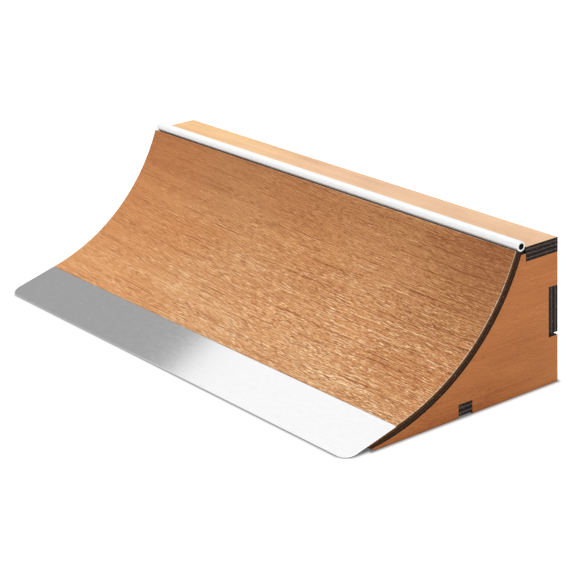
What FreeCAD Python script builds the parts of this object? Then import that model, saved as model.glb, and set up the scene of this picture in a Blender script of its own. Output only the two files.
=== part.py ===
import FreeCAD, Part
import math
import os

import Sketcher

# Tabletop quarter pipe for a finger skateboard, in millimetres.
#
# A bent plywood deck lies on two side panels and two inner ribs, rises from the floor in one
# arc and ends under a steel coping tube at the front edge of a flat platform. A back panel and
# a bottom brace lock into slots in the side panels. A thin steel threshold plate carries the
# riding face down to the floor.
#
# The origin is on the floor, in the middle of the width and of the depth. X runs across the
# width, Y from the threshold to the back, Z up.

# Every size that can be chosen by itself: alias, value, meaning.
SIZES = [
    ("ramp_width", 300, "overall width, outer face to outer face"),
    ("ramp_depth", 131, "overall depth, threshold edge to back face"),
    ("platform_height", 73.5, "floor to the top of the platform"),
    ("platform_depth", 20.5, "platform, front edge to back face"),
    ("platform_thickness", 7.15, "platform plywood"),
    ("frame_ply", 5.7, "plywood of side panels, ribs, back panel and brace"),
    ("deck_thickness", 4.1, "bent plywood of the riding face"),
    ("rib_spacing", 100, "middle of one rib to middle of the other"),
    ("finger_drop", 3.1, "platform top down to the top of each panel's front finger"),
    ("toe_angle", 15, "slope of the riding face where it meets the threshold, degrees"),
    ("run_up", 2, "straight riding face between the seam and the arc"),
    ("nose_angle", 32, "undercut at the deck's front end, degrees above the floor"),
    ("tab_floor", 25.9, "floor to the lower edge of the back panel's tabs"),
    ("tab_height", 23.6, "height of the back panel's tabs"),
    ("tab_play", 1.6, "open space under each tab in its slot"),
    ("brace_width", 8.2, "bottom brace, front to back"),
    ("brace_inset", 55.6, "back face to the rear edge of the bottom brace"),
    ("brace_rise", 1, "floor to the underside of the bottom brace"),
    ("slot_clearance", 0.1, "tab or board edge to the side of its slot"),
    ("glue_line", 0.1, "deck underside to the curved edges that carry it"),
    ("coping_diameter", 5, "coping tube, outside"),
    ("coping_bore", 3, "coping tube, inside"),
    ("coping_rise", 0.9, "axis of the coping tube above the platform top"),
    ("coping_set", 2.75, "axis of the coping tube behind the riding face"),
    ("coping_gap", 0.5, "coping tube to the platform's front edge"),
    ("coping_seat", 0.1, "coping tube to the end of the deck"),
    ("plate_length", 30.1, "threshold plate, floor edge to seam"),
    ("plate_thickness", 0.4, "threshold plate"),
    ("plate_corner", 6.5, "rounding of the threshold plate's floor corners"),
    ("seam_corner", 0.6, "rounding of its corners at the seam"),
    ("plate_overhang", 11.9, "threshold plate beyond the deck's front end"),
    ("plate_bond", 0.1, "adhesive under the threshold plate"),
    ("seam_gap", 0.2, "threshold plate to the step in the deck"),
]

# What follows from the sizes: name, expression, meaning. The riding radius is the one whose
# arc leaves the threshold's slope smoothly and passes in front of the coping tube by
# coping_set: with (y, z) from toe to tube axis, radius = (y^2 + z^2 - set^2) / 2(n + set),
# where n is that line's share along the slope's upward normal.
WORKED = [
    ("half_width", "sizes.ramp_width / 2", "middle to a side face"),
    ("front_y", "-sizes.ramp_depth / 2", "threshold edge"),
    ("rear_y", "sizes.ramp_depth / 2", "back face"),
    ("inner_rear_y", "rear_y - sizes.frame_ply", "front face of the back panel"),
    ("under_platform", "sizes.platform_height - sizes.platform_thickness", "platform underside"),
    ("platform_front", "rear_y - sizes.platform_depth", "platform front edge"),
    ("finger_top", "sizes.platform_height - sizes.finger_drop", "top of the panel fingers"),
    ("brace_rear", "rear_y - sizes.brace_inset", "rear edge of the bottom brace"),
    ("brace_front", "brace_rear - sizes.brace_width", "front edge of the bottom brace"),
    ("brace_top", "sizes.brace_rise + sizes.frame_ply", "top of the bottom brace"),
    ("tab_top", "sizes.tab_floor + sizes.tab_height", "upper edge of the back panel's tabs"),
    ("slope_run", "cos(sizes.toe_angle)", "level share of a step up the slope"),
    ("slope_rise", "sin(sizes.toe_angle)", "upright share of a step up the slope"),
    ("foot_y", "front_y + sizes.plate_thickness * slope_rise", "plate underside on the floor"),
    ("seam_at", "sizes.plate_length + sizes.seam_gap", "step in the deck, up the slope"),
    ("toe_at", "seam_at + sizes.run_up", "start of the arc, up the slope"),
    ("toe_y", "front_y + toe_at * slope_run", "start of the arc, depth"),
    ("toe_z", "toe_at * slope_rise + sizes.plate_thickness * slope_run", "its height"),
    ("coping_y", "platform_front - sizes.coping_gap - sizes.coping_diameter / 2", "tube axis"),
    ("coping_z", "sizes.platform_height + sizes.coping_rise", "tube axis, height"),
    ("reach_y", "coping_y - toe_y", "toe to tube axis, level"),
    ("reach_z", "coping_z - toe_z", "toe to tube axis, upright"),
    ("reach_up", "reach_z * slope_run - reach_y * slope_rise", "that line along the normal"),
    ("riding_radius",
     "(reach_y^2 + reach_z^2 - sizes.coping_set^2) / (2 * (reach_up + sizes.coping_set))",
     "arc of the riding face"),
    ("under_radius", "riding_radius + sizes.deck_thickness", "arc of the deck's underside"),
    ("frame_radius", "under_radius + sizes.glue_line", "arc of the panels' upper edges"),
    ("arc_y", "toe_y - riding_radius * slope_rise", "centre of the arcs, depth"),
    ("arc_z", "toe_z + riding_radius * slope_run", "centre of the arcs, height"),
    ("end_angle",
     "(atan2(reach_y + riding_radius * slope_rise; arc_z - coping_z)"
     " - asin((sizes.coping_diameter / 2 + sizes.coping_seat)"
     " / (riding_radius + sizes.coping_set))) / 1deg",
     "deck's upper end, degrees round the arc from straight down"),
    ("nose_y", "foot_y + sizes.plate_overhang * slope_run + sizes.plate_bond * slope_rise",
     "upper edge of the deck's front end"),
    ("nose_z", "sizes.plate_overhang * slope_rise - sizes.plate_bond * slope_run", "its height"),
    ("tip_y", "nose_y + nose_z / tan(sizes.nose_angle)", "undercut's line at the floor"),
]

CUT_MARGIN = 5  # how far a cut-out's sketch runs past the edge that it opens


def slope_point(along, above):
    """A point by its way up the threshold's slope and its height over the plate's underside."""
    return (f"worked.foot_y + ({along}) * worked.slope_run - ({above}) * worked.slope_rise",
            f"({along}) * worked.slope_rise + ({above}) * worked.slope_run")


def rim_point(radius, angle):
    """A point of the arc with this radius, at an angle from straight down."""
    return (f"worked.arc_y + {radius} * sin({angle})", f"worked.arc_z - {radius} * cos({angle})")


def rim_at_height(radius, height):
    """The point of the arc, behind its centre, that lies at a height."""
    return (f"worked.arc_y + sqrt({radius}^2 - (worked.arc_z - {height})^2)", height)


def nose_point(radius):
    """Where the undercut's line, going up from the floor, first meets the arc."""
    along = "((worked.tip_y - worked.arc_y) * cos(sizes.nose_angle)" \
            " + worked.arc_z * sin(sizes.nose_angle))"
    outside = f"((worked.tip_y - worked.arc_y)^2 + worked.arc_z^2 - {radius}^2)"
    way = f"({along} - sqrt({along}^2 - {outside}))"
    return (f"worked.tip_y - {way} * cos(sizes.nose_angle)", f"{way} * sin(sizes.nose_angle)")


def make_sizes(doc):
    """The sheet of chosen sizes, one row each."""
    sheet = doc.addObject("Spreadsheet::Sheet", "sizes")
    for row, (alias, size, meaning) in enumerate(SIZES, start=1):
        sheet.set(f"A{row}", alias)
        sheet.set(f"B{row}", str(size))
        sheet.set(f"C{row}", meaning)
        sheet.setAlias(f"B{row}", alias)
    doc.recompute()


def make_worked(doc):
    """The worked-out values, each bound to the sheet by its expression."""
    values = doc.addObject("App::VarSet", "worked")
    for name, _, meaning in WORKED:
        values.addProperty("App::PropertyFloat", name, "Worked", meaning)
    for name, expression, _ in WORKED:
        values.setExpression(name, expression)
    doc.recompute()


def make_body(doc, label, **place):
    """An empty body, its position bound to the expressions in place (x, y, z)."""
    body = doc.addObject("PartDesign::Body", label)
    body.Label = label
    for axis, expression in place.items():
        body.setExpression(f"Placement.Base.{axis}", expression)
    return body


def place_corner(sketch, edge, end, number, corner):
    """Bind one corner of an outline to its two expressions."""
    for kind, axis, way, expression in (("DistanceX", -2, "across", corner[0]),
                                        ("DistanceY", -1, "up", corner[1])):
        if expression == "0":
            sketch.addConstraint(Sketcher.Constraint("PointOnObject", edge, end, axis))
            continue
        now = float(sketch.evalExpression(expression))
        index = sketch.addConstraint(Sketcher.Constraint(kind, -1, 1, edge, end, now))
        sketch.renameConstraint(index, f"corner_{number}_{way}")
        sketch.setExpression(f"Constraints.corner_{number}_{way}", expression)


def make_outline(body, role, name, corners, arcs=None):
    """A closed sketch on an origin plane: straight edges between corners, and the edges in
    arcs (edge number: radius, centre across, centre up) as arcs of a circle."""
    arcs = arcs or {}
    sketch = body.newObject("Sketcher::SketchObject", f"{body.Name}_{name}")
    plane = next(item for item in body.Origin.OriginFeatures if item.Role == role)
    sketch.AttachmentSupport = (plane, [""])
    sketch.MapMode = "FlatFace"
    points = [FreeCAD.Vector(*[float(sketch.evalExpression(text)) for text in corner], 0)
              for corner in corners]
    ends = []  # for each edge, the numbers of its first and last point in travel order
    for edge, first in enumerate(points):
        last = points[(edge + 1) % len(points)]
        if edge not in arcs:
            sketch.addGeometry(Part.LineSegment(first, last), False)
            ends.append((1, 2))
            continue
        centre = FreeCAD.Vector(*[float(sketch.evalExpression(text)) for text in arcs[edge][1:]], 0)
        leftward = (first - centre).cross(last - centre).z > 0
        start, stop = (first, last) if leftward else (last, first)
        circle = Part.Circle(centre, FreeCAD.Vector(0, 0, 1), (first - centre).Length)
        angles = [math.atan2(point.y - centre.y, point.x - centre.x) for point in (start, stop)]
        sketch.addGeometry(Part.ArcOfCircle(circle, *angles), False)
        ends.append((1, 2) if leftward else (2, 1))
    for edge, (first, last) in enumerate(ends):
        following = (edge + 1) % len(ends)
        joint = Sketcher.Constraint("Coincident", edge, last, following, ends[following][0])
        sketch.addConstraint(joint)
        place_corner(sketch, edge, first, edge, corners[edge])
    for edge, (radius, _, _) in arcs.items():
        now = float(sketch.evalExpression(radius))
        index = sketch.addConstraint(Sketcher.Constraint("Radius", edge, now))
        sketch.renameConstraint(index, f"radius_{edge}")
        sketch.setExpression(f"Constraints.radius_{edge}", radius)
    return sketch


def box_corners(across_low, across_high, up_low, up_high):
    """The four corners of an upright rectangle, in order."""
    return [(across_low, up_low), (across_high, up_low),
            (across_high, up_high), (across_low, up_high)]


def make_pad(body, sketch, length, symmetric=False):
    """Raise a sketch along its plane's normal, or to both sides of the plane."""
    pad = body.newObject("PartDesign::Pad", f"{sketch.Name}_pad")
    pad.Profile = sketch
    pad.SideType = "Symmetric" if symmetric else "One side"
    pad.setExpression("Length", length)
    return pad


def cut_through(body, sketch):
    """Cut a sketch through the pad that stands on the same plane."""
    pocket = body.newObject("PartDesign::Pocket", f"{sketch.Name}_cut")
    pocket.Profile = sketch
    pocket.Type = "ThroughAll"
    pocket.Reversed = True  # a pocket runs against its plane's normal unless reversed
    return pocket


def make_upright(doc, label, x, rear, with_tab_slot):
    """A side panel or a rib: curved upper edge, a finger in front of the platform, a corner
    notch that carries the platform and a notch over the bottom brace. rear is its back edge,
    and a side panel has a slot there for the back panel's tab."""
    body = make_body(doc, label, x=x)
    radius = "worked.frame_radius"
    corners = [("worked.tip_y", "0"),
               nose_point(radius),
               rim_at_height(radius, "worked.finger_top"),
               (rear, "worked.finger_top"),
               (rear, "0")]
    arcs = {1: (radius, "worked.arc_y", "worked.arc_z")}
    profile = make_outline(body, "YZ_Plane", "profile", corners, arcs)
    make_pad(body, profile, "sizes.frame_ply")
    platform_notch = box_corners("worked.platform_front - sizes.slot_clearance",
                                 f"worked.rear_y + {CUT_MARGIN}",
                                 "worked.under_platform",
                                 f"worked.finger_top + {CUT_MARGIN}")
    cut_through(body, make_outline(body, "YZ_Plane", "platform_notch", platform_notch))
    brace_notch = box_corners("worked.brace_front - sizes.slot_clearance",
                              "worked.brace_rear + sizes.slot_clearance",
                              f"-{CUT_MARGIN}",
                              "worked.brace_top + sizes.slot_clearance")
    cut_through(body, make_outline(body, "YZ_Plane", "brace_notch", brace_notch))
    if with_tab_slot:
        tab_slot = box_corners("worked.inner_rear_y - sizes.slot_clearance",
                               f"worked.rear_y + {CUT_MARGIN}",
                               "sizes.tab_floor - sizes.tab_play",
                               "worked.tab_top + sizes.slot_clearance")
        cut_through(body, make_outline(body, "YZ_Plane", "tab_slot", tab_slot))
    return body


def make_uprights(doc):
    """Two side panels flush with the width, and two ribs between them."""
    side_panels = {"right_side_panel": "worked.half_width - sizes.frame_ply",
                   "left_side_panel": "-worked.half_width"}
    ribs = {"right_rib": "(sizes.rib_spacing - sizes.frame_ply) / 2",
            "left_rib": "-(sizes.rib_spacing + sizes.frame_ply) / 2"}
    panels = [make_upright(doc, label, x, "worked.rear_y", True)
              for label, x in side_panels.items()]
    inner = [make_upright(doc, label, x, "worked.inner_rear_y", False)
             for label, x in ribs.items()]
    return panels + inner


def make_back_panel(doc):
    """The board between the side panels, with a tab through each of them."""
    body = make_body(doc, "back_panel", y="worked.rear_y")
    board = box_corners("-(worked.half_width - sizes.frame_ply - sizes.slot_clearance)",
                        "worked.half_width - sizes.frame_ply - sizes.slot_clearance",
                        "0",
                        "worked.under_platform")
    make_pad(body, make_outline(body, "XZ_Plane", "board", board), "sizes.frame_ply")
    tabs = box_corners("-worked.half_width", "worked.half_width",
                       "sizes.tab_floor", "worked.tab_top")
    make_pad(body, make_outline(body, "XZ_Plane", "tabs", tabs), "sizes.frame_ply")
    return body


def make_bottom_brace(doc):
    """The strip that ties side panels and ribs together, just above the floor."""
    body = make_body(doc, "bottom_brace", z="sizes.brace_rise")
    strip = box_corners("-worked.half_width", "worked.half_width",
                        "worked.brace_front", "worked.brace_rear")
    make_pad(body, make_outline(body, "XY_Plane", "strip", strip), "sizes.frame_ply")
    return body


def make_platform(doc):
    """The flat top board, as wide as the ramp."""
    body = make_body(doc, "platform", z="worked.under_platform")
    board = box_corners("-worked.half_width", "worked.half_width",
                        "worked.platform_front", "worked.rear_y")
    make_pad(body, make_outline(body, "XY_Plane", "board", board), "sizes.platform_thickness")
    return body


def make_deck(doc):
    """The bent riding face: an arc, a short straight run, a land ground for the threshold
    plate, and an undercut front end."""
    body = make_body(doc, "deck")
    plate_top = "sizes.plate_thickness"
    land = "-sizes.plate_bond"
    corners = [rim_point("worked.riding_radius", "worked.end_angle"),
               ("worked.toe_y", "worked.toe_z"),
               slope_point("worked.seam_at", plate_top),
               slope_point("worked.seam_at", land),
               ("worked.nose_y", "worked.nose_z"),
               nose_point("worked.under_radius"),
               rim_point("worked.under_radius", "worked.end_angle")]
    arcs = {0: ("worked.riding_radius", "worked.arc_y", "worked.arc_z"),
            5: ("worked.under_radius", "worked.arc_y", "worked.arc_z")}
    section = make_outline(body, "YZ_Plane", "section", corners, arcs)
    make_pad(body, section, "sizes.ramp_width", symmetric=True)
    return body


def make_coping_tube(doc):
    """The steel tube along the upper end of the deck."""
    body = make_body(doc, "coping_tube", y="worked.coping_y", z="worked.coping_z")
    sketch = body.newObject("Sketcher::SketchObject", "coping_tube_section")
    plane = next(item for item in body.Origin.OriginFeatures if item.Role == "YZ_Plane")
    sketch.AttachmentSupport = (plane, [""])
    sketch.MapMode = "FlatFace"
    for number, size in enumerate(("sizes.coping_diameter", "sizes.coping_bore")):
        now = float(sketch.evalExpression(size))
        circle = Part.Circle(FreeCAD.Vector(), FreeCAD.Vector(0, 0, 1), now / 2)
        sketch.addGeometry(circle, False)
        sketch.addConstraint(Sketcher.Constraint("Coincident", number, 3, -1, 1))
        index = sketch.addConstraint(Sketcher.Constraint("Diameter", number, now))
        sketch.renameConstraint(index, f"diameter_{number}")
        sketch.setExpression(f"Constraints.diameter_{number}", size)
    make_pad(body, sketch, "sizes.ramp_width", symmetric=True)
    return body


def make_threshold_plate(doc):
    """The thin plate, drawn flat with its corners rounded, then tipped to the slope about the
    floor edge of its underside."""
    body = make_body(doc, "threshold_plate", y="worked.foot_y")
    across = FreeCAD.Vector(1, 0, 0)
    body.Placement = FreeCAD.Placement(FreeCAD.Vector(), FreeCAD.Rotation(across, 1))
    body.setExpression("Placement.Rotation.Angle", "sizes.toe_angle")  # in place of that degree
    floor_inset = "worked.half_width - sizes.plate_corner"
    seam_inset = "worked.half_width - sizes.seam_corner"
    seam_start = "sizes.plate_length - sizes.seam_corner"
    corners = [("worked.half_width", "sizes.plate_corner"),
               ("worked.half_width", seam_start),
               (seam_inset, "sizes.plate_length"),
               (f"-({seam_inset})", "sizes.plate_length"),
               ("-worked.half_width", seam_start),
               ("-worked.half_width", "sizes.plate_corner"),
               (f"-({floor_inset})", "0"),
               (floor_inset, "0")]
    arcs = {1: ("sizes.seam_corner", seam_inset, seam_start),
            3: ("sizes.seam_corner", f"-({seam_inset})", seam_start),
            5: ("sizes.plate_corner", f"-({floor_inset})", "sizes.plate_corner"),
            7: ("sizes.plate_corner", floor_inset, "sizes.plate_corner")}
    make_pad(body, make_outline(body, "XY_Plane", "sheet", corners, arcs), "sizes.plate_thickness")
    return body


def check(doc, pieces):
    """Stop unless every object is sound, every cut removed something and each piece is one
    valid solid."""
    for item in doc.Objects:
        if {"Invalid", "Error"} & set(item.State):
            raise RuntimeError(f"{item.Name} failed: {item.State}")
        if item.TypeId == "Sketcher::SketchObject" and item.solve() != 0:
            raise RuntimeError(f"{item.Name} is not solved")
        if item.TypeId == "PartDesign::Pocket":
            if item.Shape.Volume >= item.BaseFeature.Shape.Volume:
                raise RuntimeError(f"{item.Name} cuts nothing")
    for piece in pieces:
        shape = piece.Shape
        if shape.isNull() or not shape.isValid() or len(shape.Solids) != 1:
            raise RuntimeError(f"{piece.Label} is not one valid solid")
        box = shape.BoundBox
        print(f"{piece.Label}: {shape.Volume:.1f} mm3,"
              f" x {box.XMin:.2f} to {box.XMax:.2f},"
              f" y {box.YMin:.2f} to {box.YMax:.2f},"
              f" z {box.ZMin:.2f} to {box.ZMax:.2f}")


def main():
    doc = FreeCAD.newDocument("quarter_pipe")
    make_sizes(doc)
    make_worked(doc)
    pieces = make_uprights(doc)
    for make in (make_back_panel, make_bottom_brace, make_platform,
                 make_deck, make_coping_tube, make_threshold_plate):
        pieces.append(make(doc))
    doc.recompute()
    check(doc, pieces)
    os.makedirs("parts", exist_ok=True)
    for piece in pieces:
        piece.Shape.exportStep(f"parts/{piece.Label}.step")
    print(f"riding radius {doc.worked.riding_radius:.2f},"
          f" deck ends at {doc.worked.end_angle:.2f} degrees")


main()
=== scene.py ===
"""Looks for the tabletop quarter pipe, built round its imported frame.

Every wooden board is a cut outline with its plies, glue lines and softened corners. The deck is
one section carried up its bend, the coping tube one section carried round its axis, and the
threshold plate a thin sheet with rounded corners. Shapes are worked out in millimetres, and the
stage in metres.
"""

from math import cos, pi, radians, sin

import bpy
import numpy as np
from mathutils import Matrix, Vector


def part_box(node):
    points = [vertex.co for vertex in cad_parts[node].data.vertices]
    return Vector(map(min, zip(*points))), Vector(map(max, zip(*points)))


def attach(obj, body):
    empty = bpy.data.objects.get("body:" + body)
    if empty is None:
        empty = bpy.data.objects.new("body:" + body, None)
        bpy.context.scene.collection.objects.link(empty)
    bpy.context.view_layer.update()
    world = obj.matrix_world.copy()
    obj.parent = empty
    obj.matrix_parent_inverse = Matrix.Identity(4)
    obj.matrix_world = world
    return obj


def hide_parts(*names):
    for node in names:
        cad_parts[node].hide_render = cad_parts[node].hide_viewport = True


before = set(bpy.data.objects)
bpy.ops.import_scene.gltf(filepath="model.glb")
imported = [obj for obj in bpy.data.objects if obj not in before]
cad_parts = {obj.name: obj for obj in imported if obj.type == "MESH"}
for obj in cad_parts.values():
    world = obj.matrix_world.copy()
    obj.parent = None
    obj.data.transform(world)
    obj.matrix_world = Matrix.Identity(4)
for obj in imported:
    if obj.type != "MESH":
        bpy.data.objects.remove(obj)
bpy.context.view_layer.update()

MM = 0.001

# Bend of the deck, in millimetres: centre of its arcs, riding radius, board thickness and the
# turn at which the arc starts and ends, from straight down.
ARC_Y, ARC_Z = -62.53, 114.09
RIDING_RADIUS = 109.06
DECK_THICK = 4.1
TOE_TURN = radians(15)
END_TURN = radians(67.88)
NOSE_UNDERCUT = radians(32)    # rise of the undercut under the deck's nose

# Threshold plate. Its overhang is the part that reaches past the deck's nose.
SLOPE = radians(15)
FOOT_Y = -65.396     # plate underside on the floor
PLATE_LONG = 30.1
PLATE_THICK = 0.4
PLATE_CORNER = 6.5
SEAM_CORNER = 0.6
PLATE_OVERHANG = 11.9
PLATE_ARRIS = 0.08
PLATE_RIM = 0.3

# Thickness of the boards, heights of the back panel's tabs and of their slots, and the coping.
FRAME_THICK = 5.7
PLATFORM_THICK = 7.15
TAB_LOW, TAB_HIGH = 25.9, 49.5
SLOT_LOW, SLOT_HIGH = 24.3, 49.6
BORE_RADIUS = 1.5
WALL_SOFT = 0.28     # rounding of the tube's end at the outer wall
BORE_SOFT = 0.2      # and at the bore

# Gaps: glue under the deck, glue under the plate, play of a slot or notch, and the seam between
# the plate and the veneer.
GLUE_LINE = 0.1
PLATE_BOND = 0.1
PLAY = 0.1
SEAM_GAP = 0.2

# Cut edges.
ARRIS = 0.14         # softened corner of a cut board
RIM = 0.6            # strip of veneer next to a cut that the heat has changed; by the deck's right cut it is a painted highlight instead
GROOVE = 0.07        # depth of a burnt-out glue line
GROOVE_HALF = 0.1    # half its width

# Where the glue lines lie, as shares of the thickness.
FRAME_PLIES = (0.17, 0.39, 0.61, 0.83)
PLATFORM_PLIES = (0.13, 0.28, 0.43, 0.57, 0.72, 0.87)
DECK_PLIES = (0.2, 0.4, 0.6, 0.8)

# How many points.
ARRIS_POINTS = 4
CORNER_POINTS = 13
BEND_STATIONS = 56
LAND_STATIONS = 8
DECK_ROWS = 9
TUBE_ROWS = 13
TUBE_SIDES = 72
TUBE_END_POINTS = 6


# ---------------------------------------------------------------- meshes

def skin(name, points, lay, rim, joined=False):
    """A closed skin over a grid of points, rows by columns. Each row is a closed loop, and
    neighbouring rows are joined by four-sided faces. The first and last row are joined to each
    other, or each is filled with one flat face. lay is the place in the flat board, and rim is 0
    on open veneer, 1 at the softened corner and 2 on the cut."""
    rows, columns = points.shape[:2]
    number = np.arange(rows * columns).reshape(rows, columns)
    beside = np.roll(number, -1, 1)
    if joined:
        below, above = number, np.roll(number, -1, 0)
        below_next, above_next = beside, np.roll(beside, -1, 0)
    else:
        below, above = number[:-1], number[1:]
        below_next, above_next = beside[:-1], beside[1:]
    faces = np.stack((below, below_next, above_next, above), -1).reshape(-1, 4).tolist()
    if not joined:
        faces += [number[0][::-1].tolist(), number[-1].tolist()]
    mesh = bpy.data.meshes.new(name)
    mesh.from_pydata((points.reshape(-1, 3) * MM).tolist(), [], faces)
    place = mesh.attributes.new("lay", "FLOAT_VECTOR", "POINT")
    place.data.foreach_set("vector", (lay * MM).astype(np.float32).ravel())
    edge = mesh.attributes.new("rim", "FLOAT", "POINT")
    edge.data.foreach_set("value", rim.astype(np.float32).ravel())
    mesh.shade_smooth()
    mesh.set_sharp_from_angle(angle=radians(25))
    mesh.update()
    piece = bpy.data.objects.new(name, mesh)
    bpy.context.scene.collection.objects.link(piece)
    return piece


def corner_way(outline):
    """Mitre of each corner of a closed anticlockwise outline: the sum of its two edges' inward
    normals over one plus their dot product, so that a step by it moves both edges in by one."""
    edge = np.roll(outline, -1, 0) - outline
    edge /= np.linalg.norm(edge, axis=1, keepdims=True)
    inward = np.column_stack((-edge[:, 1], edge[:, 0]))
    before = np.roll(inward, 1, 0)
    return (before + inward) / (1 + (before * inward).sum(1, keepdims=True))


def cut_section(thick, plies, arris=ARRIS, rim=RIM):
    """Section of a cut edge, from one face to the other: depth below the first face, how far in
    from the outline, and rim value. Each corner is a quarter circle, and each glue line a small
    V between plies."""
    turn = np.linspace(0, pi / 2, ARRIS_POINTS)
    corner_depth, corner_in = arris * (1 - np.cos(turn)), arris * (1 - np.sin(turn))
    lines = np.repeat(np.array(plies, float) * thick, 3)
    line_depth = lines + np.tile((-GROOVE_HALF, 0.0, GROOVE_HALF), len(plies))
    line_in = np.tile((0.0, GROOVE, 0.0), len(plies))
    depth = np.concatenate(([0], corner_depth, line_depth, thick - corner_depth[::-1], [thick]))
    inset = np.concatenate(([rim], corner_in, line_in, corner_in[::-1], [rim]))
    corner_rim = 1 + turn / (pi / 2)
    value = np.concatenate(([0], corner_rim, np.full(len(lines), 2.0), corner_rim[::-1], [0]))
    return depth, inset, value


def board(name, outline, thick, place, plies, lay_from, arris=ARRIS, rim=RIM):
    """A flat board: its outline, moved in by the cut section's inset, at the section's depths
    under its upper face. place turns (along, up, over) into the piece's own position, and
    lay_from is where on the pattern the flat board lies."""
    outline = np.array(outline, float)
    depth, inset, value = (a[::-1] for a in cut_section(thick, plies, arris, rim))
    flat = outline[None] + inset[:, None, None] * corner_way(outline)[None]
    along, up = flat[..., 0], flat[..., 1]
    down = np.broadcast_to(depth[:, None], along.shape)
    lay = np.stack((along + lay_from[0], up + lay_from[1], down), -1)
    return skin(name, place(along, up, -down), lay,
                np.broadcast_to(value[:, None], along.shape))


def arc(radius, turn):
    """Points of a circle round the bend's centre, each turn measured from straight down."""
    return np.column_stack((ARC_Y + radius * np.sin(turn), ARC_Z - radius * np.cos(turn)))


def up_slope(along, above):
    """A point by its way up the threshold's slope and its height over the plate's underside."""
    return np.array((FOOT_Y + along * cos(SLOPE) - above * sin(SLOPE),
                     along * sin(SLOPE) + above * cos(SLOPE)))


NOSE = up_slope(PLATE_OVERHANG, -PLATE_BOND)
TIP_Y = NOSE[0] + NOSE[1] / np.tan(NOSE_UNDERCUT)


def nose_turn(radius):
    """Turn at which the undercut's straight line, from its foot on the floor, meets an arc."""
    way = np.array((-cos(NOSE_UNDERCUT), sin(NOSE_UNDERCUT)))
    start = np.array((TIP_Y - ARC_Y, -ARC_Z))
    half = way @ start
    reach = -half - np.sqrt(half * half - start @ start + radius * radius)
    meet = start + way * reach
    return float(np.arctan2(meet[0], -meet[1]))


def millimetres(node):
    """Lowest and highest corner of a frame node, in millimetres."""
    low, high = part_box(node)
    return np.array(low) / MM, np.array(high) / MM


def upright_outline(node, slotted):
    """Outline of a side panel or rib, as (depth, height), anticlockwise: up the rear edge, the
    platform's notch, the finger, down the curved edge, the nose and the brace's notch."""
    high = millimetres(node)[1]
    platform_low = millimetres("platform")[0]
    brace_low, brace_high = millimetres("bottom_brace")
    slot_front = millimetres("back_panel")[0][1] - PLAY
    shelf, shelf_front = platform_low[2], platform_low[1] - PLAY
    brace_front, brace_rear = brace_low[1] - PLAY, brace_high[1] + PLAY
    brace_top = brace_high[2] + PLAY
    radius = RIDING_RADIUS + DECK_THICK + GLUE_LINE
    finger_turn = float(np.arccos((ARC_Z - high[2]) / radius))
    edge = arc(radius, np.linspace(finger_turn, nose_turn(radius), BEND_STATIONS))
    slot = [(high[1], SLOT_LOW), (slot_front, SLOT_LOW), (slot_front, SLOT_HIGH),
            (high[1], SLOT_HIGH)] if slotted else []
    return [(brace_rear, 0), (high[1], 0), *slot, (high[1], shelf), (shelf_front, shelf),
            (shelf_front, high[2]), *edge.tolist(), (TIP_Y, 0), (brace_front, 0),
            (brace_front, brace_top), (brace_rear, brace_top)]


def make_upright(name, node, slotted, lay_from):
    """A side panel or rib, standing across the width."""
    low, high = millimetres(node)

    def place(along, up, over):
        return np.stack((high[0] + over, along, up), -1)
    return board(name, upright_outline(node, slotted), high[0] - low[0], place, FRAME_PLIES,
                 lay_from)


def make_back_panel(name, lay_from):
    """The rear board with its tab at each end."""
    low, high = millimetres("back_panel")
    inner = millimetres("right_side_panel")[0][0] - PLAY
    outline = [(-inner, 0), (inner, 0), (inner, TAB_LOW), (high[0], TAB_LOW), (high[0], TAB_HIGH),
               (inner, TAB_HIGH), (inner, high[2]), (-inner, high[2]), (-inner, TAB_HIGH),
               (low[0], TAB_HIGH), (low[0], TAB_LOW), (-inner, TAB_LOW)]

    def place(along, up, over):
        return np.stack((along, low[1] - over, up), -1)
    return board(name, outline, high[1] - low[1], place, FRAME_PLIES, lay_from)


def make_level_board(name, node, plies, lay_from):
    """A board that lies flat, its outline the frame node's box seen from above."""
    low, high = millimetres(node)
    outline = [(low[0], low[1]), (high[0], low[1]), (high[0], high[1]), (low[0], high[1])]

    def place(along, up, over):
        return np.stack((along, up, high[2] + over), -1)
    return board(name, outline, high[2] - low[2], place, plies, lay_from)


def make_plate(name):
    """The threshold sheet: a rectangle with its corners rounded, tipped to the slope."""
    half = millimetres("threshold_plate")[1][0]

    def corner(x, up, radius, first):
        turn = first + np.linspace(0, pi / 2, CORNER_POINTS)
        return np.column_stack((x + radius * np.cos(turn), up + radius * np.sin(turn)))
    front, seam, seam_up = half - PLATE_CORNER, half - SEAM_CORNER, PLATE_LONG - SEAM_CORNER
    outline = np.concatenate((corner(front, PLATE_CORNER, PLATE_CORNER, -pi / 2),
                              corner(seam, seam_up, SEAM_CORNER, 0),
                              corner(-seam, seam_up, SEAM_CORNER, pi / 2),
                              corner(-front, PLATE_CORNER, PLATE_CORNER, pi)))

    def place(along, up, over):
        return np.stack((along, *up_slope(up, PLATE_THICK + over)), -1)
    return board(name, outline, PLATE_THICK, place, (), (0, 0), PLATE_ARRIS, PLATE_RIM)


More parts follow.
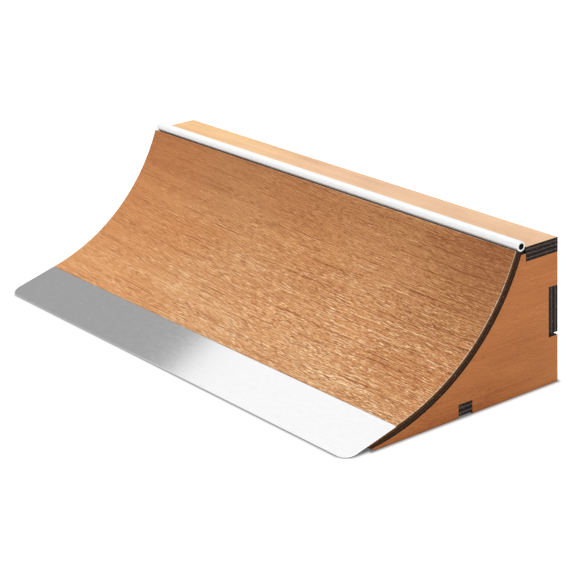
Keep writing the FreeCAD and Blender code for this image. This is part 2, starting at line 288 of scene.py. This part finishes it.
def make_deck(name):
    """The bent deck. Its section across the width is one closed loop: riding face, right cut
    edge, underside, left cut edge. At each station up the bend the loop lies between a point of
    the riding face and a point of the underside, by the depth's share of the thickness."""
    half = millimetres("deck")[1][0]
    depth, inset, value = cut_section(DECK_THICK, DECK_PLIES)
    share = depth / DECK_THICK
    inside = np.linspace(-1, 1, DECK_ROWS)[1:-1] * (half - RIM)
    rows_across = np.concatenate((inside, half - inset, inside[::-1], inset[::-1] - half))
    rows_share = np.concatenate((0 * inside, share, 0 * inside + 1, share[::-1]))
    rows_rim = np.concatenate((0 * inside, value, 0 * inside, value[::-1]))

    under = RIDING_RADIUS + DECK_THICK
    nose_under = nose_turn(under)
    seam = PLATE_LONG + SEAM_GAP
    land = np.linspace(PLATE_OVERHANG, seam, LAND_STATIONS)
    land_share = (land - land[0]) / (seam + 2 - land[0])    # lags 2 mm, clear of the bend's foot
    land_turn = nose_under + (TOE_TURN - nose_under) * land_share
    step_turn = land_turn[-1] + radians(0.25)               # under the plate's step at the seam
    turn = np.linspace(TOE_TURN, END_TURN, BEND_STATIONS)
    top = np.concatenate((up_slope(land, -PLATE_BOND).T, [up_slope(seam, PLATE_THICK)],
                          arc(RIDING_RADIUS, turn)))
    sides = np.stack((top, arc(under, np.concatenate((land_turn, [step_turn], turn)))))

    def end_stations(end, ahead):
        """Two stations that close an end: one just short of it at full depth, and one on it,
        moved in by the softened corner."""
        way = sides[:, ahead] - sides[:, end]
        way /= np.linalg.norm(way, axis=1, keepdims=True)
        across = sides[1, end] - sides[0, end]
        across /= np.linalg.norm(across)
        short = sides[:, end] + way * ARRIS
        closed = sides[:, end] + across * ((ARRIS,), (-ARRIS,))
        return short[:, None], closed[:, None]
    low_short, low_closed = end_stations(0, 1)
    high_short, high_closed = end_stations(-1, -2)
    top, bottom = np.concatenate((low_closed, low_short, sides[:, 1:-1], high_short, high_closed), 1)

    step = np.linalg.norm(np.diff((top + bottom) / 2, axis=0), axis=1)
    run = np.concatenate(([0], np.cumsum(step)))
    position = top[:, None] + rows_share[None, :, None] * (bottom - top)[:, None]
    across = np.tile(rows_across, (len(top), 1))
    across[[0, -1]] = np.clip(rows_across, ARRIS - half, half - ARRIS)
    points = np.concatenate((across[..., None], position), -1)
    lay = np.stack(np.broadcast_arrays(across, run[:, None], rows_share * DECK_THICK), -1)

    # The lower end is cut and charred. The upper one is only scorched at the left, and more and more
    # charred towards the right; this rise is partly painted shade of the narrow gap under the
    # coping, which darkens towards the right.
    rim = np.tile(rows_rim, (len(top), 1))
    rim[0] = 2
    rim[1] = np.maximum(rows_rim, 1)
    rim[-1] = np.maximum(rows_rim, np.interp(across[-1], (-50, 60), (1.25, 2.0)))
    return skin(name, points, lay, rim)


def make_coping(name):
    """The tube: a closed section, outer wall, rounded end, bore, rounded end, carried round the
    axis. A point at radius r and turn t lies at r sin t behind the axis and r cos t over it."""
    low, high = millimetres("coping_tube")
    half, outer = high[0], (high[2] - low[2]) / 2
    axis_y, axis_z = (low[1] + high[1]) / 2, (low[2] + high[2]) / 2
    turn = np.linspace(0, pi / 2, TUBE_END_POINTS)
    end_x = np.concatenate((half - WALL_SOFT + WALL_SOFT * np.sin(turn),
                            half - BORE_SOFT + BORE_SOFT * np.cos(turn)))
    end_r = np.concatenate((outer - WALL_SOFT + WALL_SOFT * np.cos(turn),
                            BORE_RADIUS + BORE_SOFT - BORE_SOFT * np.sin(turn)))
    inside = np.linspace(-1, 1, TUBE_ROWS)[1:-1] * (half - 1)
    across = np.concatenate((inside, end_x, inside[::-1], -end_x[::-1]))
    radius = np.concatenate((0 * inside + outer, end_r, 0 * inside + BORE_RADIUS, end_r[::-1]))
    around = np.linspace(0, 2 * pi, TUBE_SIDES, endpoint=False)[:, None]
    points = np.stack(np.broadcast_arrays(across[None], axis_y + radius * np.sin(around),
                                          axis_z + radius * np.cos(around)), -1)
    # The bore gets rim value 2, which the finish paints near black as shade.
    bored = np.clip((BORE_RADIUS + BORE_SOFT - radius) / BORE_SOFT, 0, 1) * 2
    return skin(name, points, points, np.broadcast_to(bored, points.shape[:2]), joined=True)


# ---------------------------------------------------------------- shader sums

class Wire:
    """One output of a node tree. Sums of wires and numbers add Math nodes."""

    def __init__(self, tree, socket=None):
        self.tree, self.socket = tree, socket

    def node(self, kind, settings=None, sockets=None, out=0):
        """Add a node: its type, its settings, then the values or wires of its inputs."""
        made = self.tree.nodes.new(kind)
        for key, value in (settings or {}).items():
            if key == "stops":
                elements = made.color_ramp.elements
                while len(elements) < len(value):
                    elements.new(0.5)
                for element, (position, tone) in zip(elements, value):
                    element.position, element.color = position, (*tone, 1)
            else:
                setattr(made, key, value)
        for key, value in (sockets or {}).items():
            if isinstance(value, Wire):
                self.tree.links.new(value.socket, made.inputs[key])
            else:
                made.inputs[key].default_value = value
        return Wire(self.tree, made.outputs[out])

    def sum(self, operation, *values):
        return self.node("ShaderNodeMath", {"operation": operation}, dict(enumerate(values)))

    def __add__(self, other):
        return self.sum("ADD", self, other)

    def __radd__(self, other):
        return self.sum("ADD", other, self)

    def __sub__(self, other):
        return self.sum("SUBTRACT", self, other)

    def __rsub__(self, other):
        return self.sum("SUBTRACT", other, self)

    def __mul__(self, other):
        return self.sum("MULTIPLY", self, other)

    def __rmul__(self, other):
        return self.sum("MULTIPLY", other, self)

    def vector(self, operation, other=(0, 0, 0), out="Vector"):
        """Vector Math with another vector."""
        return self.node("ShaderNodeVectorMath", {"operation": operation}, {0: self, 1: other}, out)

    def scaled(self, x, y, z):
        """A vector times three numbers. One over a length gives noise of about that length."""
        return self.vector("MULTIPLY", (x, y, z))

    def moved(self, other):
        """A vector plus a vector."""
        return self.vector("ADD", other)

    def noise(self, detail=2.0, rough=0.5):
        return self.node("ShaderNodeTexNoise", None,
                         {"Vector": self, "Scale": 1.0, "Detail": detail, "Roughness": rough})

    def ease(self, low, high, to_low=0.0, to_high=1.0):
        """Smooth step of a value from one pair of numbers to another."""
        return self.node("ShaderNodeMapRange", {"interpolation_type": "SMOOTHSTEP"},
                         {"Value": self, "From Min": low, "From Max": high, "To Min": to_low,
                          "To Max": to_high})

    def mix(self, share, first, second, blend="MIX"):
        """Two colours blended by a share."""
        first, second = [v if isinstance(v, Wire) else (*v, 1) for v in (first, second)]
        return self.node("ShaderNodeMix", {"data_type": "RGBA", "blend_type": blend},
                         {0: share, 6: first, 7: second}, out=2)

    def read(self, name, out):
        """An attribute of the piece."""
        return self.node("ShaderNodeAttribute", {"attribute_name": name}, None, out)

    def bump(self, distance):
        return self.node("ShaderNodeBump", None, {"Height": self, "Distance": distance})

    def ray_kinds(self):
        """Whether a ray comes from the camera, a reflection or clear matter, as three wires."""
        rays = self.node("ShaderNodeLightPath").socket.node.outputs
        return [Wire(self.tree, rays[kind])
                for kind in ("Is Camera Ray", "Is Glossy Ray", "Is Transmission Ray")]


def new_finish(name, **plain):
    """A material with one Principled shader, its plain sockets set. Returns the material, the
    shader, a wire to start from, the place in the flat board in millimetres and the rim value."""
    material = bpy.data.materials.new(name)
    material.use_nodes = True
    shader = material.node_tree.nodes["Principled BSDF"]
    for key, value in plain.items():
        shader.inputs[key.replace("_", " ")].default_value = value
    start = Wire(material.node_tree)
    lay = start.read("lay", "Vector").scaled(1 / MM, 1 / MM, 1 / MM)
    return material, shader, start, lay, start.read("rim", "Fac")


def feed(shader, **wires):
    """Link wires to the shader's inputs of those names."""
    for key, wire in wires.items():
        wire.tree.links.new(wire.socket, shader.inputs[key.replace("_", " ")])


def ply_stops(plies, dark, light, soft, fade=0.0, lip=None):
    """Ramp stops across a cut: dark and light plies in turn, starting and ending dark, with a
    darker glue line between them. Each tone is scaled by one less its depth times fade. The lip
    is the strip next to the upper face, less burnt than the rest."""
    glue = tuple(0.4 * c for c in dark)
    stops = [(0.0, lip or dark), (0.045, lip or dark), (0.12, dark)]
    for number, line in enumerate(plies):
        before, after = (dark, light) if number % 2 == 0 else (light, dark)
        stops += [(line - soft, before), (line, glue), (line + soft, after)]
    stops.append((1.0, dark))
    return [(depth, tuple(c * (1 - fade * depth) for c in tone)) for depth, tone in stops]


STAGGER = 5.3        # slide of the fine figure along the grain, per millimetre across it
ASH = (0.30, 0.19, 0.13)


def plywood(name, tones, plies, thick, figure, char, lacquer, sorted_by, rough=0.5,
            tints=((1.0, 1.12, 1.18), (0.97, 0.92, 0.82))):
    """Veneer on the faces, charred plies on the cuts.

    The veneer's tone is one sum: broad patches, long bands, fibres along the grain, a few long dark
    streaks, short dark pores and short light flecks, thicker in some places than in others, read off
    a ramp of tones and tinted by a slow drift. The fine figure is staggered: its pattern is slid
    along the grain by several times the way across it, so that no two rows start level. figure gives
    the strength of each, in that order, and the halo by a cut and its tone; the halo is scorch,
    except by the deck's right cut, where it is a painted highlight. sorted_by takes the place along
    and across the grain and the drift, and returns what is particular there: how much darker or
    paler the board is, which on the deck is partly and at the right side board's foot wholly painted
    light and shade, how strong its fine figure is, how far its grain leans across, or its own drift
    or halo tone."""
    patch, band, fibre, streak, pore, fleck, halo, halo_tone = figure
    material, shader, start, lay, rim = new_finish(
        name, Specular_IOR_Level=0.15, Coat_Roughness=0.32, Coat_IOR=1.5)
    along, across, depth = (start.node("ShaderNodeSeparateXYZ", None, {0: lay}, n)
                            for n in range(3))
    drift = lay.scaled(1 / 130, 1 / 60, 1 / 9).noise(1.0).ease(0.36, 0.64)
    here = sorted_by(along, across, drift)
    drift = here.get("drift", drift)

    sway = (lay.scaled(1 / 90, 1 / 30, 1 / 9).noise(2.0) - 0.5) * 5
    if "lean" in here:
        sway = sway + here["lean"]
    ripple = (lay.scaled(1 / 8, 1 / 4, 1 / 3).noise(2.0) - 0.5) * 1.1
    grain = lay.moved(start.node("ShaderNodeCombineXYZ", None, {"Y": sway}))
    wavy = grain.moved(start.node("ShaderNodeCombineXYZ", None,
                                  {"X": across * STAGGER, "Y": ripple}))
    patches = lay.scaled(1 / 45, 1 / 18, 1 / 9).noise(2.0)
    bands = grain.scaled(1 / 160, 1 / 5, 1 / 3).noise(3.0, 0.6)
    fibres = wavy.scaled(1 / 55, 1 / 0.8, 1).noise(3.0, 0.65) * 0.34
    fibres = fibres + wavy.scaled(1 / 3.5, 1 / 0.5, 1).moved((3, 6, 2)).noise(2.0, 0.7) * 0.4
    fibres = fibres + grain.scaled(1 / 1.6, 1 / 0.65, 1).noise(1.0, 0.7) * 0.26
    streaks = grain.scaled(1 / 60, 1 / 1.1, 1 / 3).moved((1.7, 3.1, 5.0)).noise(1.0)
    streaks = streaks.ease(0.58, 0.76)
    pores = wavy.scaled(1 / 4.6, 1 / 0.45, 1).moved((7.3, 1.9, 4.0)).noise(1.0).ease(0.5, 0.72)
    flecks = wavy.scaled(1 / 5.4, 1 / 0.45, 1).moved((2.1, 8.7, 9.0)).noise(1.0).ease(0.5, 0.72)
    lively = grain.scaled(1 / 22, 1 / 6, 1).moved((9.0, 4.0, 6.0)).noise(1.0)
    lively = lively.ease(0.34, 0.66, 0.6, 1.4)
    pores, flecks = pores * lively, flecks * lively
    if "part" in here:
        part = here["part"]
        pores, flecks, streaks = pores * part, flecks * part, streaks * part
        fibres = 0.5 + (fibres - 0.5) * part
    tone = 0.5 + (patches - 0.5) * patch + (bands - 0.5) * band
    # The shift makes the board darker or paler: on the deck partly, and at the right side board's
    # foot wholly, painted light and shade.
    if "shift" in here:
        tone = tone + here["shift"]
    tone = tone + (fibres - 0.5) * fibre - streaks * streak - pores * pore + flecks * fleck
    veneer = start.node("ShaderNodeValToRGB", {"stops": tones}, {0: tone})
    veneer = start.mix(1.0, veneer, start.mix(drift, *tints), "MULTIPLY")

    soot = lay.scaled(0.9, 0.9, 2.0).noise(3.0, 0.6)
    cut = start.node("ShaderNodeValToRGB", {"stops": ply_stops(plies, *char)},
                     {0: depth * (1 / thick) + (soot - 0.5) * 0.03})
    cut = start.mix(1.0, cut, soot.ease(0.3, 0.7, 0.55, 1.5), "MULTIPLY")
    ash = lay.scaled(1 / 1.6, 1 / 1.6, 1 / 0.7).moved((5.0, 1.0, 3.0)).noise(1.0)
    cut = start.mix(ash.ease(0.65, 0.77, 0.0, 0.5), cut, ASH)

    burnt = rim.ease(1.1, 1.7)
    # The halo strip: scorched veneer by most cuts, and a painted highlight by the deck's right cut.
    glow = rim.ease(0.3, 1.0) * (1 - burnt) * soot.ease(0.4, 0.58, 0.2, 1.1) * halo
    shown = start.mix(burnt, start.mix(glow, veneer, here.get("halo_tone", halo_tone)), cut)
    satin = rough + (fibres - 0.5) * 0.3 + pores * 0.12
    satin = satin + burnt * (0.7 - satin)
    height = ((fibres - 0.5) * 0.5 - pores * 0.6 + flecks * 0.6) * (1 - burnt) + soot * burnt
    feed(shader, Base_Color=shown, Roughness=satin, Coat_Weight=(1 - burnt) * lacquer,
         Normal=height.bump(0.00005))
    return material


def drawn_tube(name):
    """Satin steel with fine drawing lines along the tube and a faint cloudiness. The bore is painted
    near black, painted shade standing in for the dark deep inside the tube."""
    material, shader, start, lay, rim = new_finish(name)
    bore = rim.ease(0.6, 1.8)
    lines = lay.scaled(1 / 40, 5, 5).noise(2.0, 0.6)
    cloud = lay.scaled(1 / 12, 1 / 3, 1 / 3).noise(2.0)
    steel = start.mix(lines.ease(0.3, 0.7), (0.87, 0.88, 0.895), (0.935, 0.94, 0.945))
    # Painted shade: the bore is coloured near black for the dark inside the tube.
    bore_painted_shade = start.mix(cloud, (0.006, 0.006, 0.007), (0.02, 0.019, 0.018))
    rough = 0.34 + (lines - 0.5) * 0.2 + (cloud - 0.5) * 0.2
    feed(shader, Base_Color=start.mix(bore, steel, bore_painted_shade), Roughness=rough + bore * 0.4,
         Metallic=(1 - bore) * 0.25, Normal=lines.bump(0.000006))
    return material


def rolled_sheet(name):
    """Satin steel sheet with fine rolling lines along its length, a mottle and a few scuffs."""
    material, shader, start, lay, _ = new_finish(name, Metallic=1.0)
    lines = lay.scaled(1 / 30, 1 / 0.3, 1).noise(2.0, 0.6)
    mottle = lay.scaled(1 / 5, 1 / 2.5, 1).noise(2.0, 0.6)
    scuffs = lay.scaled(1 / 9, 1 / 1.2, 1).moved((4.4, 2.2, 0)).noise(1.0).ease(0.66, 0.76)
    tone = 0.5 + (lines - 0.5) * 0.8 + (mottle - 0.5) * 0.9 + scuffs * 0.5
    shown = start.mix(tone, (0.90, 0.90, 0.915), (0.985, 0.98, 0.985))
    rough = 0.06 + (lines - 0.5) * 0.03 + (mottle - 0.5) * 0.03 + scuffs * 0.06
    feed(shader, Base_Color=shown, Roughness=rough, Normal=lines.bump(0.0000004))
    return material


# ---------------------------------------------------------------- pieces

# Tones of a cut for ply_stops, and of the strip of veneer next to one.
CHAR = ((0.010, 0.006, 0.004), (0.070, 0.058, 0.052), 0.03)
DECK_CHAR = ((0.036, 0.013, 0.003), (0.145, 0.061, 0.022), 0.03, 0.85, (0.42, 0.26, 0.16))
# The pale halo tone is a painted highlight along the deck's right edge, where that edge catches the
# light.
PALE_EDGE_HIGHLIGHT = (0.95, 0.80, 0.66)
SCORCH = (0.26, 0.13, 0.07)
PLATFORM_HALO = (0.50, 0.27, 0.13)


def deck_veneer_and_painted_light(along, across, drift):
    """The deck's veneer: palest by the threshold and along a band half way up its right half, darker
    by the coping and most of all in the coping's right corner. The paling at the foot and the
    darkening up towards the coping and its right corner are partly the veneer's own tone and partly
    painted light and shade: the foot faces up into the light and the top is turned away from it. Its
    figure is faint at the left and by the coping. Its grain leans more and more towards the left, by
    the square of the way from a line near the right end, and its left end is golden higher up. The
    halo is scorched by its left cut. By its right cut it is pale, a painted highlight along that
    edge."""
    # Darker up the bend and in the coping's right corner, paler at the foot: partly the veneer's
    # tone, partly painted light and shade.
    darker = (across.ease(30, 80, 0.05, -0.04) + across.ease(85, 115, 0.0, -0.13)
              + along.ease(60, 150) * across.ease(20, 95, -0.08, -0.2)
              + along.ease(0, 110) * across.ease(48, 60) * across.ease(60, 71, 0.1, 0.0))
    figure = along.ease(-170, 110, 0.5, 1.3) * across.ease(62, 112, 1.0, 0.52)
    golden = along.ease(-150, -30, 0.9, 0.0) * across.ease(45, 75)
    left = 100 - along
    return {"shift": darker, "part": figure, "drift": drift * 0.6 + golden,
            "lean": left * left * -0.00014,
            "halo_tone": along.mix(along.ease(-50, 50), SCORCH, PALE_EDGE_HIGHLIGHT)}


def frame_painted_foot_shade(along, across, drift):
    """The frame's veneer: darker at the front foot of the right side board, painted shade where it
    stands on the floor. The other boards lie further along the pattern, where this has faded out."""
    return {"shift": across.ease(0, 28, -0.22, 0.0) * along.ease(25, 70, 1.0, 0.0)}


def platform_sorting(along, across, drift):
    """The platform's veneer: more golden towards its left end."""
    return {"drift": along.ease(-98, 82, 1.0, 0.0)}


deck_finish = plywood(
    "veneer_deck",
    [(0.0, (0.26, 0.075, 0.022)), (0.35, (0.50, 0.20, 0.072)), (0.6, (0.66, 0.31, 0.125)),
     (1.0, (0.95, 0.70, 0.45))],
    DECK_PLIES, DECK_THICK, (0.15, 0.25, 2.6, 0.38, 0.43, 0.3, 0.9, PALE_EDGE_HIGHLIGHT), DECK_CHAR,
    0.12, deck_veneer_and_painted_light)
frame_finish = plywood(
    "plywood_frame",
    [(0.0, (0.34, 0.095, 0.022)), (0.35, (0.51, 0.172, 0.046)), (0.65, (0.59, 0.212, 0.061)),
     (1.0, (0.76, 0.345, 0.125))],
    FRAME_PLIES, FRAME_THICK, (0.6, 0.5, 1.6, 0.15, 0.15, 0.12, 0.6, SCORCH), CHAR,
    0.15, frame_painted_foot_shade, tints=((1.0, 1.01, 1.02), (0.99, 0.96, 0.94)))
platform_finish = plywood(
    "plywood_platform",
    [(0.0, (0.50, 0.21, 0.08)), (0.35, (0.71, 0.39, 0.18)), (0.65, (0.79, 0.47, 0.235)),
     (1.0, (0.90, 0.62, 0.36))],
    PLATFORM_PLIES, PLATFORM_THICK, (0.7, 0.7, 0.8, 0.1, 0.1, 0.08, 0.2, PLATFORM_HALO), CHAR,
    0.7, platform_sorting, rough=0.42, tints=((1.0, 1.0, 1.0), (1.0, 0.95, 0.57)))
coping_finish = drawn_tube("steel_coping")
threshold_finish = rolled_sheet("steel_threshold")

made = [
    (make_upright("side_board_right", "right_side_panel", True, (11, 0)),
     "right_side_panel", "frame_plywood", frame_finish),
    (make_upright("side_board_left", "left_side_panel", True, (431, 0)),
     "left_side_panel", "frame_plywood", frame_finish),
    (make_upright("rib_right", "right_rib", False, (873, 0)),
     "right_rib", "frame_plywood", frame_finish),
    (make_upright("rib_left", "left_rib", False, (1290, 0)),
     "left_rib", "frame_plywood", frame_finish),
    (make_back_panel("rear_board", (1700, 0)), "back_panel", "frame_plywood", frame_finish),
    (make_level_board("brace_strip", "bottom_brace", FRAME_PLIES, (2100, 0)),
     "bottom_brace", "frame_plywood", frame_finish),
    (make_level_board("top_board", "platform", PLATFORM_PLIES, (57, 1240)),
     "platform", "platform_plywood", platform_finish),
    (make_deck("riding_deck"), "deck", "deck_veneer", deck_finish),
    (make_coping("coping_pipe"), "coping_tube", "coping_steel", coping_finish),
    (make_plate("threshold_sheet"), "threshold_plate", "threshold_steel", threshold_finish),
]
for piece, node, slot_name, material in made:
    piece.data.materials.append(material)
    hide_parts(node)
    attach(piece, "root")


# ---------------------------------------------------------------- stage

# Floor, in metres: how far it reaches, how far it lies under the object, and how far behind the
# side panels' tips its opening starts. Then its grey, its glow to the camera and in reflections,
# and the shade by the object: how far inside and outside the edge it runs, how dark it is, how
# much narrower it is than the plate, and its corner under the frame.
FLOOR_REACH = 4.0
FLOOR_DROP = 0.00003
OPENING_BACK = 0.006
FLOOR_GREY = 0.55
FLOOR_GLOW = 0.8
SHADE_IN, SHADE_OUT, SHADE_DARK = -0.001, 0.0034, 0.15
SHADE_NARROWER = 0.0016
FRAME_SHADE_CORNER = 0.0005

# World: its level light, and how much darker than white the grey wall is.
WORLD_LEVEL = 0.4
WALL_DARKER = 0.62


def make_floor():
    """A wide level sheet, a hair under the object, white where nothing shades it, and open under
    the object's hollow, so that the underside is lit when it is looked at. Its tight contact
    shade follows the way off the nearer of two rectangles with rounded corners, under the
    threshold and under the frame: the length of the part of (|x|, |y|), measured from the
    rectangle's middle, that is past the corners' centres, less their radius."""
    material = bpy.data.materials.new("studio_floor")
    material.use_nodes = True
    tree = material.node_tree
    tree.nodes.clear()
    start = Wire(tree)
    seen, glossy, clear = start.ray_kinds()
    place = start.node("ShaderNodeTexCoord", None, None, "Object")

    def off_box(middle, half_x, half_y, corner):
        way = place.vector("SUBTRACT", (0, middle, 0)).vector("ABSOLUTE")
        way = way.vector("SUBTRACT", (half_x - corner, half_y - corner, 0)).vector("MAXIMUM")
        return way.scaled(1, 1, 0).vector("LENGTH", out="Value") - corner
    near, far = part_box("threshold_plate"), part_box("right_side_panel")
    foot = (far[0][1] + far[1][1]) / 2
    off = start.sum("MINIMUM",
                    off_box(0, near[1][0] - SHADE_NARROWER, -near[0][1], PLATE_CORNER * MM),
                    off_box(foot, far[1][0], far[1][1] - foot, FRAME_SHADE_CORNER))
    open_floor = off.ease(SHADE_IN, SHADE_OUT, SHADE_DARK, 1.0)
    tone = start.mix(open_floor, (0.0, 0.0, 0.0), (FLOOR_GREY,) * 3)
    plain = start.node("ShaderNodeBsdfDiffuse", None, {"Color": tone})
    lift = start.node("ShaderNodeEmission", None,
                      {"Color": (1, 1, 1, 1),
                       "Strength": (seen + glossy + clear) * open_floor * FLOOR_GLOW})
    lit = start.node("ShaderNodeAddShader", None, {0: plain, 1: lift})
    back = start.node("ShaderNodeNewGeometry", None, None, "Backfacing")
    shown = start.node("ShaderNodeMixShader", None,
                       {0: back * seen, 1: lit, 2: start.node("ShaderNodeBsdfTransparent")})
    tree.links.new(shown.socket, tree.nodes.new("ShaderNodeOutputMaterial").inputs["Surface"])

    mesh = bpy.data.meshes.new("studio_floor")
    inner = far[0][0]
    front, rear = far[0][1] + OPENING_BACK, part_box("back_panel")[0][1]
    rims = [(-FLOOR_REACH, -FLOOR_REACH), (FLOOR_REACH, -FLOOR_REACH),
            (FLOOR_REACH, FLOOR_REACH), (-FLOOR_REACH, FLOOR_REACH),
            (-inner, front), (inner, front), (inner, rear), (-inner, rear)]
    mesh.from_pydata([(x, y, -FLOOR_DROP) for x, y in rims], [],
                     [(0, 1, 5, 4), (1, 2, 6, 5), (2, 3, 7, 6), (3, 0, 4, 7)])
    mesh.materials.append(material)
    floor = bpy.data.objects.new("studio_floor", mesh)
    bpy.context.scene.collection.objects.link(floor)


def make_world():
    """White to the camera and in reflections, level to everything else, with a grey wall low on
    the left in reflections. The wall lies where the way's share along each of three directions
    is within its limits."""
    world = bpy.data.worlds.new("studio")
    world.use_nodes = True
    bpy.context.scene.world = world
    tree = world.node_tree
    start = Wire(tree)
    seen, glossy, clear = start.ray_kinds()
    way = start.node("ShaderNodeTexCoord", None, None, "Generated")

    def along(x, y, z):
        return way.vector("DOT_PRODUCT", (x, y, z), "Value")
    wall = along(0, 0.126, 1).ease(0.603, 0.617, 1.0, 0.0) * along(-1, 0, 0).ease(0.66, 0.70)
    wall = wall * along(0, 1, 0).ease(0.04, 0.12) * along(0, 1, 0).ease(0.34, 0.42, 1.0, 0.0)
    shown = (seen + glossy + clear) * (1 - WORLD_LEVEL) + WORLD_LEVEL
    shown = shown * (1 - wall * glossy * WALL_DARKER)
    ground = tree.nodes["Background"]
    ground.inputs["Color"].default_value = (1, 1, 1, 1)
    tree.links.new(shown.socket, ground.inputs["Strength"])


def add_lamp(name, place, aim, size, power):
    """A square soft lamp, aimed at a point, that doesn't show in reflections."""
    lamp = bpy.data.lights.new(name, "AREA")
    lamp.shape, lamp.size, lamp.energy = "SQUARE", size, power
    holder = bpy.data.objects.new(name, lamp)
    holder.location = place
    holder.rotation_euler = (Vector(aim) - Vector(place)).to_track_quat("-Z", "Y").to_euler()
    holder.visible_glossy = False
    bpy.context.scene.collection.objects.link(holder)


def make_camera(place, turn, height, roll, lens):
    """A camera at a place, looking level turn degrees from +Y towards -X, height degrees down,
    and tilted by roll."""
    a, e, r = radians(turn), radians(height), radians(roll)
    back = Vector((sin(a) * cos(e), -cos(a) * cos(e), sin(e)))
    right = Vector((cos(a), sin(a), 0))
    up = back.cross(right)
    across, upright = right * cos(r) + up * sin(r), up * cos(r) - right * sin(r)
    data = bpy.data.cameras.new("camera")
    data.lens, data.sensor_width = lens, 36
    data.clip_start, data.clip_end = 0.05, 20
    holder = bpy.data.objects.new("camera", data)
    holder.matrix_world = Matrix.Translation(place) @ Matrix(
        (across, upright, back)).transposed().to_4x4()
    bpy.context.scene.collection.objects.link(holder)
    bpy.context.scene.camera = holder


make_floor()
make_world()
add_lamp("key", (-0.42, 0.0, 0.80), (0, 0, 0.03), 0.6, 5.6)
add_lamp("fill", (0.52, -0.60, 0.36), (0.10, 0.02, 0.05), 0.5, 2.1)
add_lamp("side", (0.95, 0.38, 0.42), (0.15, 0.04, 0.03), 0.6, 2.3)
make_camera((0.766086, -0.546525, 0.372259), 53.638, 20.2845, -2.9167, 121.16)
bpy.context.scene.view_settings.view_transform = "Standard"
